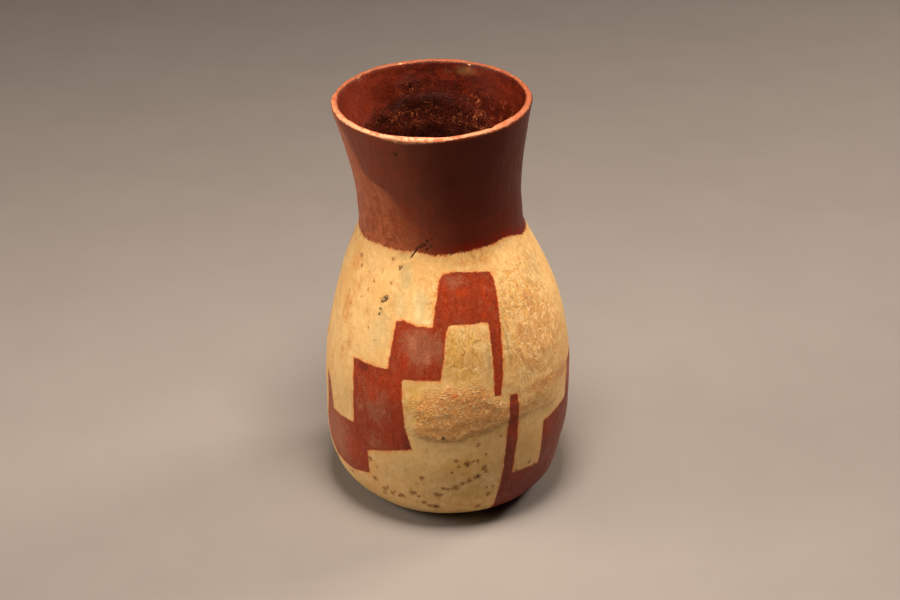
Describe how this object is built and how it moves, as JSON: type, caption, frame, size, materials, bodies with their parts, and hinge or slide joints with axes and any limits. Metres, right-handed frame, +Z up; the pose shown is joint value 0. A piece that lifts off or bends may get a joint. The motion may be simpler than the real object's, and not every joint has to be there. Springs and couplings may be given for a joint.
{
  "type": "bichrome jug",
  "caption": "Hand-built earthenware jug with a round belly, a wide flaring neck, a rounded lip and a small flat foot; red and cream slip.",
  "frame": {"origin": "centre of the flat foot, on the surface the jug stands on, below the middle of the belly", "axes": "+Z up through the belly to the mouth, -Y the painted front that the picture shows, +X to its right; the neck leans about 4 degrees towards -X"},
  "size_m": [0.1097, 0.1089, 0.1874],
  "materials": {
    "slipped_earthenware": "burnished cream slip with dark red slip on the neck and stepped red painting on the belly, worn and stained"
  },
  "bodies": {
    "root": {"jug": "slipped_earthenware"}
  },
  "joints": []
}
